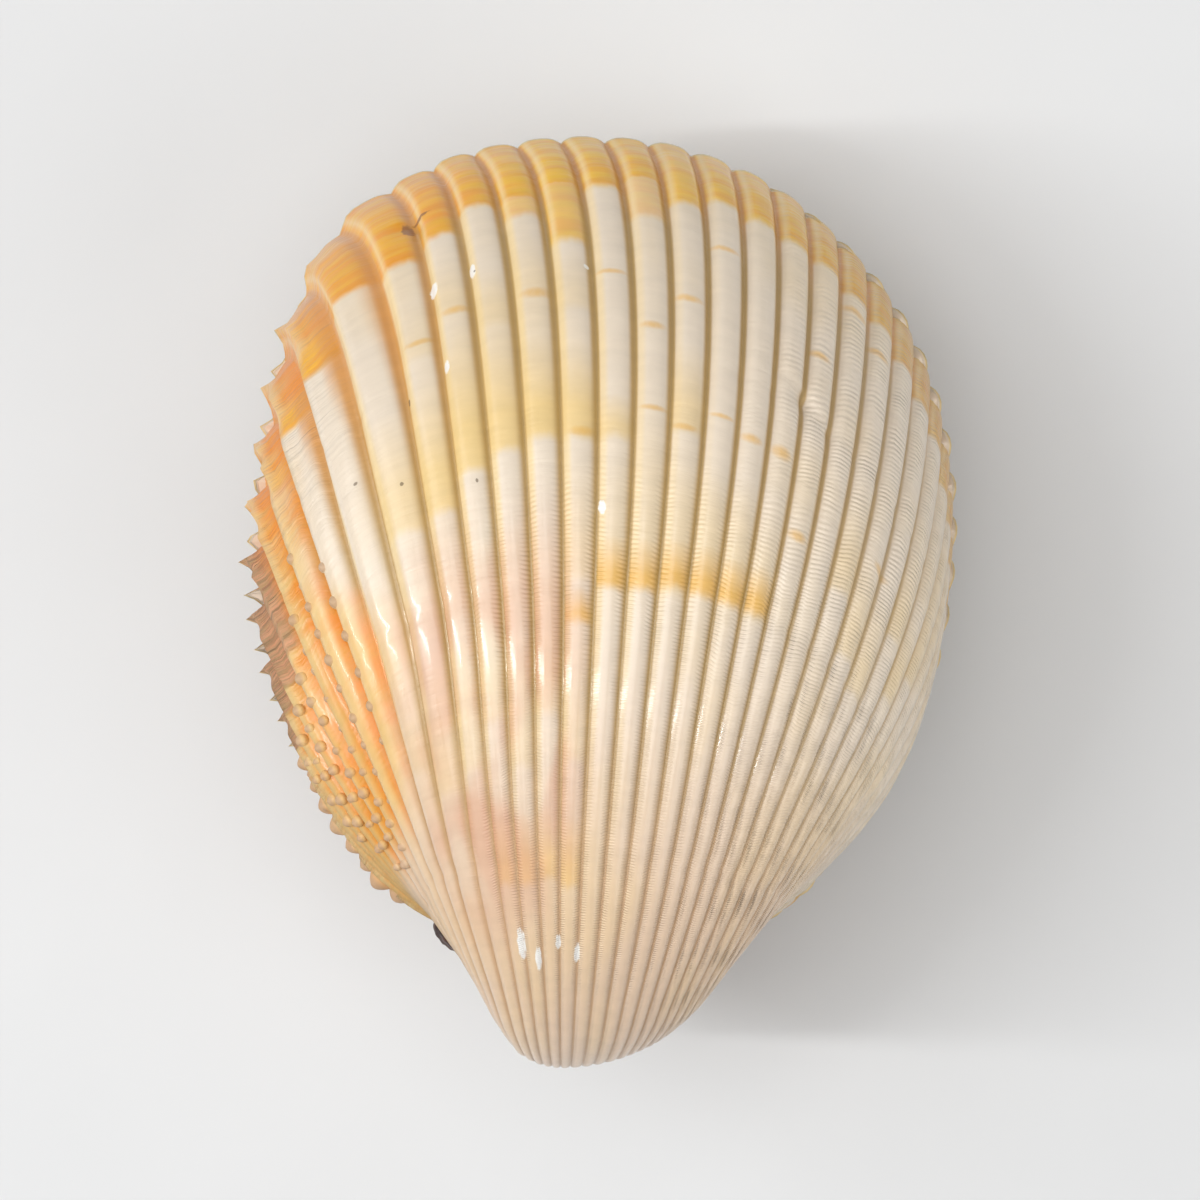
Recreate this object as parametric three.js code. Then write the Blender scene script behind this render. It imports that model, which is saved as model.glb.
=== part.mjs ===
// A whole cockle shell: two ribbed valves, closed edge to edge, and the ligament behind their beaks.
// Millimetres, +Z up. The shell lies on its right valve, with the left valve on top.
// +Y runs from the hinge to the ventral margin, -X is the posterior side and +X the anterior one.
//
// Each valve is a grown surface. Every growth ring is the margin outline, made smaller and turned
// about the hinge axis, and the ribs run from ring to ring towards the beak.
import * as THREE from 'three';
import { ParametricGeometry } from 'three/addons/geometries/ParametricGeometry.js';
import { mergeVertices } from 'three/addons/utils/BufferGeometryUtils.js';

// Margin outline, from the posterior end of the hinge round to the anterior end.
// X lies along the hinge axis and Y is the distance from it.
const MARGIN_POINTS = [
  [-6, 1.2], [-9.9, 2.7], [-14.2, 6.4], [-18.1, 12.6], [-21.2, 20], [-22.5, 27.5], [-22, 35],
  [-20.4, 43], [-16.9, 50], [-10.4, 54.2], [-5, 55.7], [1, 56.1], [7.3, 55.2], [14.2, 51.9],
  [20.7, 45], [24.3, 36.4], [25, 27], [23.2, 17.4], [18.7, 8.9], [13, 2.4], [7, 0.8],
];
// Side outline of one valve in its middle plane, from the ventral margin over the back to the beak,
// as parts of the distance from hinge axis to margin: along Y, and out of the closing plane.
const SIDE_POINTS = [
  [1, 0], [0.95, 0.1], [0.85, 0.205], [0.7, 0.3], [0.52, 0.355], [0.34, 0.37], [0.16, 0.35],
  [0.02, 0.3], [-0.085, 0.22], [-0.135, 0.135], [-0.14, 0.07], [-0.11, 0.025], [-0.06, 0.01],
];
const BEAK_DRIFT = -2.2;         // the beaks stand this far to the posterior side
const ANTERIOR_SWELL = 10.5;     // extra width of the young rings on the anterior side
const SWELL_POWER = 1.5;         // how quickly that swell grows towards the anterior margin
const HALF_WIDTH = 25;
// A ring's width is its scale to a power, which changes with the ring's youth and youth squared.
const WIDTH_POWER = { grown: 0.5, young: 0.34, youngSquared: 0.4 };

// Ribs
const RIB_COUNT = 46;
const RIB_HEIGHT = 0.9;
const WIDE_RIB_EXTRA = 0.62;     // the widest rib is wider than the rest by this part
const WIDE_RIB_PLACE = 0.33;     // place of the widest rib, as a part of the margin
const WIDE_RIB_FADE = { posterior: 0.136, anterior: 0.02 };
const TOOTH_HEIGHT = 0.45;       // rib ends reach this far over the closing plane
const PLAIN_END_RIBS = 3;        // ribs that fade out towards each end of the hinge

// Wall
const VALVE_GAP = 0.3;
const LIP_WIDTH = 2.2;
const HINGE_PLATE = 4.5;         // width of the solid plate under the hinge line
const WALL_GAIN = 0.03;          // inner rings shrink by this part for each radian of turn
const CUP_END = 0.74;            // the hollow ends at this part of the side outline

// Facets
const HINGE_STEPS = 4;
const OUTER_RINGS = 18;
const INNER_RINGS = 5;
const RING_CROWDING = 1.25;      // rings lie closer together towards the beak
const CURVE_DIVISIONS = 600;
const MERGE_DISTANCE = 1e-4;

// Ligament
const LIGAMENT_RADIUS = 0.9;
const LIGAMENT_LENGTH = 2;
const LIGAMENT_HALF_SPAN = 1.5;  // across the two valves
const LIGAMENT_CENTRE = [-9.2, 0.4];
const LIGAMENT_TURN = 35;        // degrees, along the posterior end of the hinge
const LIGAMENT_END_STEPS = 4;
const LIGAMENT_SIDES = 12;

// Lie of the shell on a flat surface
const REST_PITCH = -3.4;         // degrees
const REST_ROLL = 9;             // degrees
const WORN_DEPTH = 0.4;          // the rib crests that it lies on are worn down by this much

const margin = new THREE.SplineCurve(MARGIN_POINTS.map(([x, y]) => new THREE.Vector2(x, y)));
const side = new THREE.SplineCurve(SIDE_POINTS.map(([y, z]) => new THREE.Vector2(y, z)));
margin.arcLengthDivisions = CURVE_DIVISIONS;
side.arcLengthDivisions = CURVE_DIVISIONS;

const MARGIN_STEPS = 2 * RIB_COUNT;
const COLUMNS = MARGIN_STEPS + HINGE_STEPS;
const ROWS = OUTER_RINGS + INNER_RINGS + 2;

function ribWidth(fraction) {
  const fade = fraction < WIDE_RIB_PLACE ? WIDE_RIB_FADE.posterior : WIDE_RIB_FADE.anterior;
  const offset = (fraction - WIDE_RIB_PLACE) / fade;
  return 1 + WIDE_RIB_EXTRA * Math.exp(-offset * offset);
}

// Places along the margin where each half rib begins, from 0 to 1.
function halfRibPlaces() {
  const places = [0];
  for (let step = 0; step < MARGIN_STEPS; step += 1) {
    places.push(places[step] + ribWidth((step + 0.5) / MARGIN_STEPS));
  }
  return places.map((place) => place / places[MARGIN_STEPS]);
}

// How strongly ribs and teeth stand out, fading to nothing at both ends of the hinge.
function ribStrength(step) {
  const fromEnd = Math.min(step, MARGIN_STEPS - step);
  return THREE.MathUtils.smoothstep(fromEnd, 0, 2 * PLAIN_END_RIBS);
}

function marginColumn(place, step) {
  const point = margin.getPointAt(place);
  const along = margin.getTangentAt(place);
  return { point, outward: new THREE.Vector2(-along.y, along.x), step, strength: ribStrength(step) };
}

function hingeColumn(step) {
  const start = margin.getPoint(1);
  const end = margin.getPoint(0);
  const point = start.lerp(end, step / HINGE_STEPS);
  return { point, outward: new THREE.Vector2(0, -1), step: 0, strength: 0 };
}

function allColumns() {
  const columns = halfRibPlaces().map(marginColumn);
  for (let step = 1; step < HINGE_STEPS; step += 1) {
    columns.push(hingeColumn(step));
  }
  return columns;
}

const columns = allColumns();

// The growth ring at a part of the side outline, 0 at the margin and 1 at the beak.
function ringAt(part) {
  const point = side.getPointAt(part);
  return { scale: point.length(), turn: Math.atan2(point.y, point.x) };
}

function ringWidth(scale) {
  const young = 1 - scale;
  const { grown, young: slope, youngSquared } = WIDTH_POWER;
  return Math.pow(scale, grown + slope * young + youngSquared * young * young);
}

// A point of the margin plane carried to a growth ring.
function grow(point, ring) {
  const young = 1 - ring.scale;
  const anterior = Math.pow(Math.max(point.x, 0) / HALF_WIDTH, SWELL_POWER);
  const swell = ANTERIOR_SWELL * young * Math.sqrt(ring.scale) * anterior;
  const x = BEAK_DRIFT * young + ringWidth(ring.scale) * point.x + swell;
  const reach = point.y * ring.scale;
  return new THREE.Vector3(
    x,
    reach * Math.cos(ring.turn),
    reach * Math.sin(ring.turn) + VALVE_GAP / 2,
  );
}

// The left valve's ribs crest on the odd columns and the right valve's on the even ones.
function crests(column, rightValve) {
  return (column.step % 2 === 1) !== rightValve;
}

function toothDrop(column, rightValve) {
  const drop = TOOTH_HEIGHT * column.strength;
  return crests(column, rightValve) ? -drop : drop;
}

function outerPoint(column, part, rightValve) {
  const ring = ringAt(part);
  const proud = crests(column, rightValve) ? RIB_HEIGHT * column.strength : 0;
  const shift = column.outward.clone().multiplyScalar(proud);
  const point = grow(column.point.clone().add(shift), ring);
  if (part === 0) {
    point.z += toothDrop(column, rightValve);
  }
  return point;
}

function innerPoint(column, part, rightValve) {
  const outer = ringAt(part);
  const ring = { scale: outer.scale - WALL_GAIN * outer.turn, turn: outer.turn };
  const inset = column.point.clone().addScaledVector(column.outward, -LIP_WIDTH);
  inset.y = Math.max(inset.y, HINGE_PLATE);
  const point = grow(inset, ring);
  if (part === 0) {
    point.z += toothDrop(column, rightValve);
  }
  return point;
}

function centreOf(points) {
  const sum = points.reduce((total, point) => total.add(point), new THREE.Vector3());
  return sum.divideScalar(points.length);
}

// Row 0 closes the beak, the next rows run down to the lip, and the last row closes the hollow.
function valveRow(row, rightValve) {
  if (row === 0) {
    const centre = centreOf(valveRow(1, rightValve));
    return columns.map(() => centre);
  }
  if (row <= OUTER_RINGS) {
    const part = Math.pow((OUTER_RINGS - row) / (OUTER_RINGS - 1), 1 / RING_CROWDING);
    return columns.map((column) => outerPoint(column, part, rightValve));
  }
  if (row < ROWS) {
    const part = CUP_END * (row - OUTER_RINGS - 1) / INNER_RINGS;
    return columns.map((column) => innerPoint(column, part, rightValve));
  }
  const centre = centreOf(valveRow(ROWS - 1, rightValve));
  return columns.map(() => centre);
}

// Joins the seams and drops the facets that shrink to a line at the two poles.
function closedSkin(geometry) {
  geometry.deleteAttribute('normal');
  geometry.deleteAttribute('uv');
  const skin = mergeVertices(geometry, MERGE_DISTANCE);
  const corners = skin.index.array;
  const kept = [];
  for (let i = 0; i < corners.length; i += 3) {
    const [a, b, c] = corners.slice(i, i + 3);
    if (a !== b && b !== c && c !== a) {
      kept.push(a, b, c);
    }
  }
  skin.setIndex(kept);
  skin.computeVertexNormals();
  return skin;
}

function valveGeometry(rightValve) {
  const rows = [];
  for (let row = 0; row <= ROWS; row += 1) {
    rows.push(valveRow(row, rightValve));
  }
  const surface = (u, v, target) => {
    const turn = rightValve ? 1 - u : u;
    const column = Math.round(turn * COLUMNS) % COLUMNS;
    target.copy(rows[Math.round(v * ROWS)][column]);
    target.z *= rightValve ? -1 : 1;
  };
  return closedSkin(new ParametricGeometry(surface, COLUMNS, ROWS));
}

// Levels the rib crests that the shell lies on.
function wornUnderside(skin, restTurn) {
  const down = new THREE.Vector3(0, 0, -1).applyQuaternion(restTurn.clone().invert());
  const places = skin.attributes.position;
  const point = new THREE.Vector3();
  const depths = [];
  for (let i = 0; i < places.count; i += 1) {
    depths.push(point.fromBufferAttribute(places, i).dot(down));
  }
  const level = depths.reduce((deepest, depth) => Math.max(deepest, depth)) - WORN_DEPTH;
  depths.forEach((depth, i) => {
    const lift = Math.min(level - depth, 0);
    point.fromBufferAttribute(places, i).addScaledVector(down, lift);
    places.setXYZ(i, point.x, point.y, point.z);
  });
  skin.computeVertexNormals();
  return skin;
}

function ligamentGeometry() {
  const geometry = new THREE.CapsuleGeometry(
    LIGAMENT_RADIUS,
    LIGAMENT_LENGTH,
    LIGAMENT_END_STEPS,
    LIGAMENT_SIDES,
  );
  geometry.rotateZ(Math.PI / 2);
  geometry.scale(1, 1, LIGAMENT_HALF_SPAN / LIGAMENT_RADIUS);
  return closedSkin(geometry);
}

function piece(name, geometry, colour, roughness) {
  const material = new THREE.MeshStandardMaterial({ color: colour, roughness, metalness: 0 });
  const mesh = new THREE.Mesh(geometry, material);
  mesh.name = name;
  return mesh;
}

const shell = new THREE.Group();
shell.rotation.x = THREE.MathUtils.degToRad(REST_PITCH);
shell.rotation.y = THREE.MathUtils.degToRad(REST_ROLL);

const leftValve = piece('left_valve', valveGeometry(false), 0xf0dcb4, 0.35);
const underside = wornUnderside(valveGeometry(true), shell.quaternion);
const rightValve = piece('right_valve', underside, 0xefdab6, 0.35);
const ligament = piece('ligament', ligamentGeometry(), 0x3a2418, 0.6);
ligament.position.set(...LIGAMENT_CENTRE, 0);
ligament.rotation.z = THREE.MathUtils.degToRad(-LIGAMENT_TURN);

shell.add(leftValve, rightValve, ligament);

// The origin is under the middle of the shell, on the surface that it lies on.
const box = new THREE.Box3().setFromObject(shell, true);
const middle = box.getCenter(new THREE.Vector3());
shell.position.set(-middle.x, -middle.y, -box.min.z);

const cockle = new THREE.Group();
cockle.add(shell);

export default cockle;
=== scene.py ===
"""A whole cockle shell: two ribbed valves, closed edge to edge, and the ligament at their beaks.

The valves are grown surfaces. Every growth ring is the margin outline, made smaller and turned
about the hinge axis, so a point of a valve is named by its rib, counted from the posterior end of
the hinge, and by its age, the distance from the margin along the back of the shell.
"""

import math

import bmesh
import bpy
import numpy as np
from bpy.props import FloatProperty, FloatVectorProperty, IntProperty, PointerProperty
from mathutils import Matrix, Vector


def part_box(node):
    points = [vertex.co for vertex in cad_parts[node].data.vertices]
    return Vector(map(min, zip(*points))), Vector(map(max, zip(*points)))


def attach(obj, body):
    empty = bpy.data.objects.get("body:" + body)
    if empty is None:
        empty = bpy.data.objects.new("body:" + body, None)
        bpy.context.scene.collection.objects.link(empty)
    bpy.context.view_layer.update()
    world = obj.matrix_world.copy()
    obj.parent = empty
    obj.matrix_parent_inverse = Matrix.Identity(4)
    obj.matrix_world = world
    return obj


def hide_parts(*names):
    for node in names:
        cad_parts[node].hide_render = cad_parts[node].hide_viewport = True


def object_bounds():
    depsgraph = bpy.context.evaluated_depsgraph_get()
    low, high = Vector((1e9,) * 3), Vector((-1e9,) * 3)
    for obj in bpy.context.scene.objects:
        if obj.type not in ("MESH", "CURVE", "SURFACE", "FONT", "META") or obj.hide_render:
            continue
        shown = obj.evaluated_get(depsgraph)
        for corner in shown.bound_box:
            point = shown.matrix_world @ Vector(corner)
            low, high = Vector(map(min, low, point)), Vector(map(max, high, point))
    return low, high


bl_info = {
    "name": "Cockle Shell",
    "version": (1, 0, 0),
    "blender": (4, 5, 0),
    "location": "3D View > Sidebar > Cockle",
    "description": "Models a whole ribbed cockle shell with its ligament, lying on a plain floor",
    "category": "Add Mesh",
}

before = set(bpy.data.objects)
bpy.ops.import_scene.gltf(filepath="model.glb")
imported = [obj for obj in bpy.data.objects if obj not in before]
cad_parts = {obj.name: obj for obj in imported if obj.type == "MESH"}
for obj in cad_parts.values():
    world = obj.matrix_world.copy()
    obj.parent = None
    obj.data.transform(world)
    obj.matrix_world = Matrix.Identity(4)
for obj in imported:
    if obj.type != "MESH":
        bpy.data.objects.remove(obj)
CAD_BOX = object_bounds()
MM = 0.001

# Margin outline of a valve in millimetres: along the hinge axis, and away from it.
MARGIN_POINTS = [
    (-6, 1.2), (-9.9, 2.7), (-14.2, 6.4), (-18.1, 12.6), (-21.2, 20), (-22.5, 27.5), (-22, 35),
    (-20.4, 43), (-16.9, 50), (-10.4, 54.2), (-5, 55.7), (1, 56.1), (7.3, 55.2), (14.2, 51.9),
    (20.7, 45), (24.3, 36.4), (25, 27), (23.2, 17.4), (18.7, 8.9), (13, 2.4), (7, 0.8),
]
# Side outline of a valve from margin to beak, as parts of the hinge-to-margin distance.
SIDE_POINTS = [
    (1, 0), (0.95, 0.1), (0.85, 0.205), (0.7, 0.3), (0.52, 0.355), (0.34, 0.37), (0.16, 0.35),
    (0.02, 0.3), (-0.085, 0.22), (-0.135, 0.135), (-0.14, 0.07), (-0.11, 0.025), (-0.06, 0.01),
]
HINGE_TO_MARGIN = 55.8
HALF_WIDTH = 25.0
BEAK_DRIFT = -1.8
ANTERIOR_SWELL = 10.6
RIGHT_VALVE_SLIP = (0.5, -0.6, 0.0)     # of its margin, growing from the hinge
LIGAMENT_CENTRE = Vector((-9.2, 0.4, 0.0))
LIGAMENT_TURN = math.radians(-35)

# Lie of the shell. The growth frame has its X axis on the hinge and its XY plane between the
# valves.
REST_TURN = Matrix.Rotation(math.radians(-3.4), 3, "X") @ Matrix.Rotation(math.radians(9), 3, "Y")

# Camera in the growth frame, in millimetres
CAMERA_AIM = Vector((1.05, 24.15, 0))
CAMERA_DISTANCE = 380
VIEW_WIDTH = 84
# Lamps: name, place and size in metres, and power in watts
LAMPS = [
    ("key", (-0.40, 0.12, 0.52), (0.55, 0.55), 1.2),
    ("front", (0.05, 0.05, 0.72), (0.50, 0.50), 2.0),
    ("gloss", (-0.33, 0.0, 0.44), (0.025, 0.36), 0.95),
    ("fill", (0.50, -0.30, 0.45), (0.50, 0.50), 1.25),
]

# Points across one rib, closer together on its flanks than on its crest
RIB_PHASES = (0.0, 0.06, 0.13, 0.25, 0.4, 0.56, 0.7, 0.8, 0.88, 0.94)
HINGE_STEPS = 8
OUTER_ROWS = 160
BEAK_ROWS = (0.0, 0.4, 0.7, 0.9)
LIP_ROWS = (0.1, 0.3, 0.65, 1.0)
INNER_ROWS = 10
INNER_REACH = 0.74               # part of the side outline that the inner face follows
INNER_HINGE_GAP = 4.5            # millimetres that the inner face keeps from the hinge line
SEAM_REACH = 2e-6                # metres; closer points of a skin are joined
SHORTEST_EDGE = 1e-7             # metres; shorter edges are taken out
RIM_LEVEL = -2.0                 # age given to the lip, where there is no growth band
INSIDE_LEVEL = -6.0              # age given to the inner face

# Knobs of each posterior rib: youngest and oldest age, step between them, and how much larger they
# are at the margin.
KNOB_ROWS = [
    (1, 0.6, 2, 9, 1.7), (2, 0.6, 3, 9, 2.0), (3, 0.6, 9, 5, 2.0), (4, 0.6, 9, 5.0, 1.8),
    (5, 0.6, 14, 5, 1.5), (6, 22, 42, 4.2, 1), (7, 26, 48, 3.6, 1), (8, 28, 52, 3.2, 1),
    (9, 28, 54, 2.9, 1), (10, 25, 53, 2.8, 1), (11, 23, 50, 2.7, 1), (12, 29, 46, 3.0, 0.8),
]
# Growth pauses: age, depth and width of the step, in millimetres.
GROWTH_PAUSES = [(5.3, 0.05, 0.5), (22.5, 0.06, 0.45), (38.8, 0.07, 0.4), (57, 0.08, 0.6)]
# Healed breaks of the left valve: rib and age of the middle, half width in ribs, and depth in
# millimetres.
HEALED_BREAKS = [(26.1, 21.7, 0.9, 0.38), (15.9, 8.2, 0.4, 0.30)]


def middle_of(box):
    """The middle of a pair of corners."""
    low, high = box
    return (Vector(low) + Vector(high)) / 2


# The ligament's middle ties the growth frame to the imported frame.
HINGE_PLACE = middle_of(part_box("ligament")) - REST_TURN @ (LIGAMENT_CENTRE * MM)


def to_frame(points):
    """Growth-frame millimetres, as an array of rows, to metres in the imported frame."""
    turn = np.array(REST_TURN)
    return points @ turn.T * MM + np.array(HINGE_PLACE)


# ------------------------------------------------------------
# Settings


class CockleForm(bpy.types.PropertyGroup):
    """Sizes of the ribs, knobs and wall."""

    rib_count: IntProperty(
        name="Ribs", description="Ribs from one end of the hinge to the other", default=46, min=20)
    rib_height: FloatProperty(
        name="Rib height", description="Height of a middle rib at the margin",
        default=0.72 * MM, unit="LENGTH")
    keel_height: FloatProperty(
        name="Keel height", description="Extra height of the sharp posterior ribs",
        default=0.75 * MM, unit="LENGTH")
    tooth_length: FloatProperty(
        name="Tooth length", description="How far the posterior rib ends stand out",
        default=0.75 * MM, unit="LENGTH")
    tooth_drop: FloatProperty(
        name="Tooth drop", description="How far rib ends reach over the closing plane",
        default=0.45 * MM, unit="LENGTH")
    knob_size: FloatProperty(
        name="Knob size", description="Radius of a knob on the posterior slope",
        default=0.54 * MM, unit="LENGTH")
    valve_gap: FloatProperty(
        name="Gap", description="Gap between the closed valves", default=0.12 * MM, unit="LENGTH")
    lip_width: FloatProperty(
        name="Lip width", description="Width of the inner lip", default=2.2 * MM, unit="LENGTH")


class CockleColours(bpy.types.PropertyGroup):
    """Colours of the shell and ligament."""

    crest: FloatVectorProperty(
        name="Rib", description="White of the ribs", subtype="COLOR", size=4,
        default=(0.78, 0.67, 0.54, 1), min=0, max=1)
    # Groove tan is partly the grooves' own colour and partly painted shade, laid in the grooves and
    # on the anterior sides of the ribs.
    groove: FloatVectorProperty(
        name="Groove", description="Tan of the grooves", subtype="COLOR", size=4,
        default=(0.46, 0.29, 0.09, 1), min=0, max=1)
    # Flank cream is partly the ribs' own cream and partly painted light on the posterior sides,
    # which face the lamps on the left.
    flank: FloatVectorProperty(
        name="Flank", description="Cream of the ribs' posterior sides", subtype="COLOR", size=4,
        default=(0.84, 0.64, 0.31, 1), min=0, max=1)
    beak: FloatVectorProperty(
        name="Beak", description="Beige of the oldest part", subtype="COLOR", size=4,
        default=(0.70, 0.49, 0.33, 1), min=0, max=1)
    # Old groove brown paints the same shade in the grooves near the beak.
    old_groove: FloatVectorProperty(
        name="Old groove", description="Brown grooves near the beak", subtype="COLOR", size=4,
        default=(0.58, 0.37, 0.21, 1), min=0, max=1)
    pale_yellow: FloatVectorProperty(
        name="Pale yellow", description="Wide pale growth bands", subtype="COLOR", size=4,
        default=(0.80, 0.58, 0.25, 1), min=0, max=1)
    gold: FloatVectorProperty(
        name="Gold", description="Strong growth bands", subtype="COLOR", size=4,
        default=(0.78, 0.45, 0.10, 1), min=0, max=1)
    ochre: FloatVectorProperty(
        name="Ochre", description="Bands along the margin", subtype="COLOR", size=4,
        default=(0.83, 0.48, 0.018, 1), min=0, max=1)
    slope_yellow: FloatVectorProperty(
        name="Slope yellow", description="Slope away from the margin", subtype="COLOR", size=4,
        default=(0.64, 0.32, 0.025, 1), min=0, max=1)
    # Orange is also laid as painted shade in the slope hollows and in the grooves near the margin.
    orange: FloatVectorProperty(
        name="Orange", description="Posterior slope and margin", subtype="COLOR", size=4,
        default=(0.77, 0.25, 0.006, 1), min=0, max=1)
    rose: FloatVectorProperty(
        name="Rose", description="Pink stains beside the slope", subtype="COLOR", size=4,
        default=(0.64, 0.31, 0.18, 1), min=0, max=1)
    knob: FloatVectorProperty(
        name="Knob", description="Grey beige of the knobs", subtype="COLOR", size=4,
        default=(0.50, 0.32, 0.20, 1), min=0, max=1)
    rough: FloatVectorProperty(
        name="Rough", description="Brown rough layers at the margin", subtype="COLOR", size=4,
        default=(0.40, 0.25, 0.13, 1), min=0, max=1)
    ligament: FloatVectorProperty(
        name="Ligament", description="Dark horn of the ligament", subtype="COLOR", size=4,
        default=(0.035, 0.014, 0.010, 1), min=0, max=1)
    floor: FloatVectorProperty(
        name="Floor", description="Pale floor", subtype="COLOR", size=4,
        default=(0.72, 0.73, 0.74, 1), min=0, max=1)


# ------------------------------------------------------------
# The growth model, in millimetres


def smooth_step(low, high, value):
    """0 below low, 1 above high and a smooth rise between them."""
    part = np.clip((np.asarray(value, float) - low) / (high - low), 0, 1)
    return part * part * (3 - 2 * part)


def mix(first, second, part):
    """first where part is 0 and second where it is 1."""
    return first + (second - first) * part


def curve_at(points, parts, samples=4000):
    """Points and directions on a Catmull-Rom curve, at parts of its length."""
    knots = np.array([points[0], *points, points[-1]], float)
    place = np.linspace(0, len(points) - 1, samples)
    span = np.minimum(place.astype(int), len(points) - 2)
    t = (place - span)[:, None]
    before, start, end, after = (knots[span + k] for k in range(4))
    leave, arrive = (end - before) / 2, (after - start) / 2
    line = (2 * start - 2 * end + leave + arrive) * t ** 3
    line += (3 * end - 3 * start - 2 * leave - arrive) * t ** 2 + leave * t + start
    steps = np.linalg.norm(np.diff(line, axis=0), axis=1)
    length = np.concatenate([[0], np.cumsum(steps)])
    slope = np.gradient(line, length, axis=0)
    wanted = np.asarray(parts) * length[-1]
    point = np.stack([np.interp(wanted, length, line[:, k]) for k in range(2)], axis=-1)
    along = np.stack([np.interp(wanted, length, slope[:, k]) for k in range(2)], axis=-1)
    return point, along / np.linalg.norm(along, axis=-1, keepdims=True), length[-1]


def rib_places(rib_count):
    """Parts of the margin where each half rib begins. Ribs widen towards the posterior slope."""
    steps = 2 * rib_count
    middle = (np.arange(steps) + 0.5) / steps
    fade = np.where(middle < 0.33, 0.136, 0.02)
    widths = 1 + 0.62 * np.exp(-((middle - 0.33) / fade) ** 2)
    places = np.concatenate([[0], np.cumsum(widths)])
    return places / places[-1]


def rings_at(parts):
    """Scale and turn of the growth rings at parts of the side outline."""
    side, _, length = curve_at(SIDE_POINTS, parts)
    return np.hypot(side[:, 0], side[:, 1]), np.arctan2(side[:, 1], side[:, 0]), length


def ring_width(scale):
    """Width of a ring against the margin's width. The young shell is narrower."""
    young = 1 - scale
    return scale ** (0.5 + 0.34 * young + 0.4 * young ** 2)


def grow(plane_points, scale, turn):
    """Carries points of the margin plane to growth rings, giving rings by points by 3."""
    x0, y0 = plane_points[..., 0], plane_points[..., 1]
    scale, turn = scale[:, None], turn[:, None]
    young = 1 - scale
    swell = ANTERIOR_SWELL * young * np.sqrt(scale) * (np.maximum(x0, 0) / HALF_WIDTH) ** 1.5
    x = BEAK_DRIFT * young + ring_width(scale) * x0 + swell
    return np.stack([x, y0 * scale * np.cos(turn), y0 * scale * np.sin(turn)], axis=2)


def unit(vectors):
    """Vectors made one long."""
    return vectors / np.maximum(np.linalg.norm(vectors, axis=-1, keepdims=True), 1e-9)


def rib_drift(rib, age):
    """How far the ribs have bent towards the posterior end since an age, in rib widths."""
    bent = 1.4 * (1 - np.exp(-age / 17)) * (1 - smooth_step(19, 30, rib)) * smooth_step(0, 8, rib)
    early = 0.35 * np.exp(-((rib - 25) / 4) ** 2) - 0.8 * np.exp(-((rib - 15) / 3.5) ** 2)
    return bent + smooth_step(38, 62, age) * early


class Columns:
    """The lines of points from beak to lip: where each stands on its rib and on the margin."""

    def __init__(self, form, right_valve):
        self.count = form.rib_count
        self.shift = 0.5 if right_valve else 0.0
        every = np.concatenate([k + np.array(RIB_PHASES) for k in range(self.count + 2)])
        rib = every[(every >= self.shift) & (every <= self.count + self.shift)]
        from_start = rib - self.shift
        from_end = np.minimum(from_start, self.count - from_start)
        part = np.linspace(0, 1, HINGE_STEPS + 1)[1:]
        self.open_rib = rib
        self.rib = np.concatenate([rib, mix(rib[-1], rib[0], part)])
        self.strength = np.concatenate([smooth_step(0, 3, from_end), np.zeros(HINGE_STEPS)])
        self.phase = self.rib - np.floor(self.rib)

    def margin(self, age):
        """Margin points and outward directions that the columns grow from, ages by columns."""
        from_start = self.open_rib - self.shift
        moved = from_start + rib_drift(from_start, age[:, None])
        places = np.interp(moved, np.arange(2 * self.count + 1) / 2, rib_places(self.count))
        point, along, _ = curve_at(MARGIN_POINTS, places)
        outward = np.stack([-along[..., 1], along[..., 0]], axis=-1)
        return self.with_hinge(point), self.with_hinge(outward, (0, -1))

    @staticmethod
    def with_hinge(rows, between=None):
        """Adds the straight hinge edge, back to the first column."""
        part = np.linspace(0, 1, HINGE_STEPS + 1)[1:, None]
        edge = mix(rows[:, -1:], rows[:, :1], part)
        if between is not None:
            edge[:, :-1] = between
        return np.concatenate([rows, edge], axis=1)


def keel_part(rib):
    """1 on the sharp ribs of the posterior slope and 0 on the flat ribs."""
    return (1 - smooth_step(10.5, 17, rib)) * smooth_step(0.5, 3, rib)


def corner_place(rib, age):
    """Part of a rib's width where its posterior face ends and its top begins."""
    at_margin = mix(0.3, 0.8, 1 - smooth_step(9.5, 15, np.floor(rib) + 0.5))
    inside = mix(0.25, 0.55, 1 - smooth_step(8, 12, np.floor(rib) + 0.5))
    return mix(at_margin, inside, smooth_step(0, 16, age))


def rib_section(rib, age):
    """Heights across the ribs, from 0 in the groove to 1 on the crest: flat-topped, and rounded."""
    phase = rib - np.floor(rib)
    corner = corner_place(rib, age)
    at_margin, inside = 1 - smooth_step(13, 17.5, rib), 1 - smooth_step(9.5, 13, rib)
    keel = mix(at_margin, inside, smooth_step(14, 30, age))
    rise = np.clip(phase / corner, 0, 1)
    fall = np.clip((phase - corner) / (1 - corner), 0, 1)
    face = mix(smooth_step(0, 1, rise), rise ** 1.8, keel)
    flat_top = (1 - smooth_step(0.65, 1, fall)) * (1 - 0.55 * (fall - 0.3) ** 2)
    hollow_top = 0.58 * (1 - fall ** 2) + 0.42 * np.exp(-(fall / 0.22) ** 2)
    ridged = face * mix(flat_top, hollow_top, keel)
    arched = np.maximum(np.sin(math.pi * phase ** 0.9), 0) ** 0.75 + 0 * age
    return ridged, mix(arched, ridged, keel)


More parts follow.
